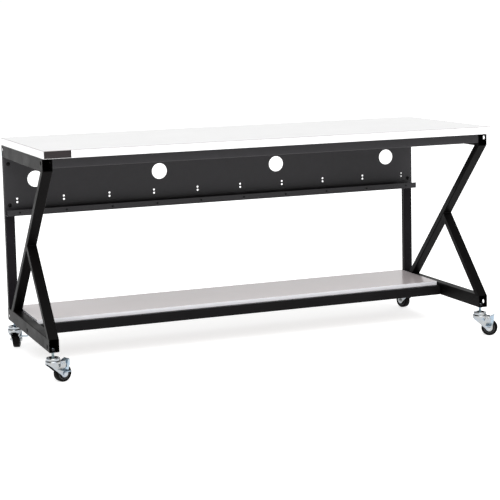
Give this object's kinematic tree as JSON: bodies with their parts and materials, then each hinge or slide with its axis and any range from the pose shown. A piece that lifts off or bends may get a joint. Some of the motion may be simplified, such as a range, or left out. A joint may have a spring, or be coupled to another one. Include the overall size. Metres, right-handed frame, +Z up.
{
  "type": "mobile assembly table",
  "caption": "Wheeled assembly table with a white laminate worktop, lower shelf, K-shaped welded steel ends, cable panel with tray, and braked swivel casters.",
  "frame": {"origin": "on the floor, under the middle of the worktop", "axes": "+X along the worktop to the right, +Y from the open front to the back panel, +Z up"},
  "size_m": [1.8764, 0.7566, 0.8556],
  "materials": {
    "white_laminate": "satin",
    "white_edge_band": "satin",
    "shelf_laminate": "gloss",
    "shelf_edge_band": "satin",
    "backer": "matte",
    "particleboard": "matte",
    "black_powder_coat": "satin",
    "black_sheet": "satin",
    "black_screws": "satin",
    "zinc_screws": "satin",
    "plain_steel": "satin",
    "bearing_steel": "polished",
    "zinc_plate": "polished",
    "zinc_lever": "satin",
    "black_tread": "matte",
    "black_wheel_core": "satin"
  },
  "bodies": {
    "frame": {"worktop_core": "particleboard", "worktop_laminate": "white_laminate", "worktop_backer": "backer", "worktop_edge_band": "white_edge_band", "worktop_screws": "zinc_screws", "shelf_board": "particleboard", "shelf_laminate": "shelf_laminate", "shelf_backer": "backer", "shelf_edge_band": "shelf_edge_band", "shelf_screws": "zinc_screws", "left_top_tube": "black_powder_coat", "right_top_tube": "black_powder_coat", "left_base_tube": "black_powder_coat", "right_base_tube": "black_powder_coat", "left_long_diagonal": "black_powder_coat", "right_long_diagonal": "black_powder_coat", "left_strut": "black_powder_coat", "right_strut": "black_powder_coat", "left_rear_post": "black_powder_coat", "right_rear_post": "black_powder_coat", "top_front_rail": "black_powder_coat", "top_rear_rail": "black_powder_coat", "shelf_front_rail": "black_powder_coat", "shelf_rear_rail": "black_powder_coat", "rail_nut_plates": "plain_steel", "rail_bolts": "black_screws", "back_panel": "black_sheet", "panel_screws": "black_screws", "caster_stems": "zinc_plate", "stem_nuts": "plain_steel", "swivel_caps": "zinc_plate", "swivel_balls": "bearing_steel"},
    "front_left_swivel": {"front_left_fork": "zinc_plate", "front_left_axle": "zinc_screws", "front_left_brake_pin": "zinc_screws"},
    "front_left_wheel": {"front_left_tread": "black_tread", "front_left_wheel_core": "black_wheel_core"},
    "front_left_brake": {"front_left_brake_lever": "zinc_lever"},
    "front_right_swivel": {"front_right_fork": "zinc_plate", "front_right_axle": "zinc_screws", "front_right_brake_pin": "zinc_screws"},
    "front_right_wheel": {"front_right_tread": "black_tread", "front_right_wheel_core": "black_wheel_core"},
    "front_right_brake": {"front_right_brake_lever": "zinc_lever"},
    "rear_left_swivel": {"rear_left_fork": "zinc_plate", "rear_left_axle": "zinc_screws", "rear_left_brake_pin": "zinc_screws"},
    "rear_left_wheel": {"rear_left_tread": "black_tread", "rear_left_wheel_core": "black_wheel_core"},
    "rear_left_brake": {"rear_left_brake_lever": "zinc_lever"},
    "rear_right_swivel": {"rear_right_fork": "zinc_plate", "rear_right_axle": "zinc_screws", "rear_right_brake_pin": "zinc_screws"},
    "rear_right_wheel": {"rear_right_tread": "black_tread", "rear_right_wheel_core": "black_wheel_core"},
    "rear_right_brake": {"rear_right_brake_lever": "zinc_lever"}
  },
  "joints": [
    {"name": "front_left_swivel", "type": "hinge", "parent": "frame", "child": "front_left_swivel", "pos_m": [-0.8918, -0.2916, 0.08], "axis": [0, 0, 1], "continuous": true},
    {"name": "front_left_roll", "type": "hinge", "parent": "front_left_swivel", "child": "front_left_wheel", "pos_m": [-0.85566, -0.27986, 0.0325], "axis": [-0.309, 0.9511, 0], "continuous": true},
    {"name": "front_left_brake", "type": "hinge", "parent": "front_left_swivel", "child": "front_left_brake", "pos_m": [-0.85946, -0.28109, 0.071], "axis": [-0.309, 0.9511, 0], "range_deg": [0, 12]},
    {"name": "front_right_swivel", "type": "hinge", "parent": "frame", "child": "front_right_swivel", "pos_m": [0.8918, -0.2916, 0.08], "axis": [0, 0, 1], "continuous": true},
    {"name": "front_right_roll", "type": "hinge", "parent": "front_right_swivel", "child": "front_right_wheel", "pos_m": [0.92293, -0.3134, 0.0325], "axis": [0.5736, 0.8192, 0], "continuous": true},
    {"name": "front_right_brake", "type": "hinge", "parent": "front_right_swivel", "child": "front_right_brake", "pos_m": [0.91965, -0.3111, 0.071], "axis": [0.5736, 0.8192, 0], "range_deg": [0, 12]},
    {"name": "rear_left_swivel", "type": "hinge", "parent": "frame", "child": "rear_left_swivel", "pos_m": [-0.8918, 0.329, 0.08], "axis": [0, 0, 1], "continuous": true},
    {"name": "rear_left_roll", "type": "hinge", "parent": "rear_left_swivel", "child": "rear_left_wheel", "pos_m": [-0.87757, 0.36423, 0.0325], "axis": [-0.9272, 0.3746, 0], "continuous": true},
    {"name": "rear_left_brake", "type": "hinge", "parent": "rear_left_swivel", "child": "rear_left_brake", "pos_m": [-0.87906, 0.36052, 0.071], "axis": [-0.9272, 0.3746, 0], "range_deg": [0, 12]},
    {"name": "rear_right_swivel", "type": "hinge", "parent": "frame", "child": "rear_right_swivel", "pos_m": [0.8918, 0.329, 0.08], "axis": [0, 0, 1], "continuous": true},
    {"name": "rear_right_roll", "type": "hinge", "parent": "rear_right_swivel", "child": "rear_right_wheel", "pos_m": [0.88196, 0.36571, 0.0325], "axis": [-0.9659, -0.2588, 0], "continuous": true},
    {"name": "rear_right_brake", "type": "hinge", "parent": "rear_right_swivel", "child": "rear_right_brake", "pos_m": [0.883, 0.36184, 0.071], "axis": [-0.9659, -0.2588, 0], "range_deg": [0, 12]}
  ]
}
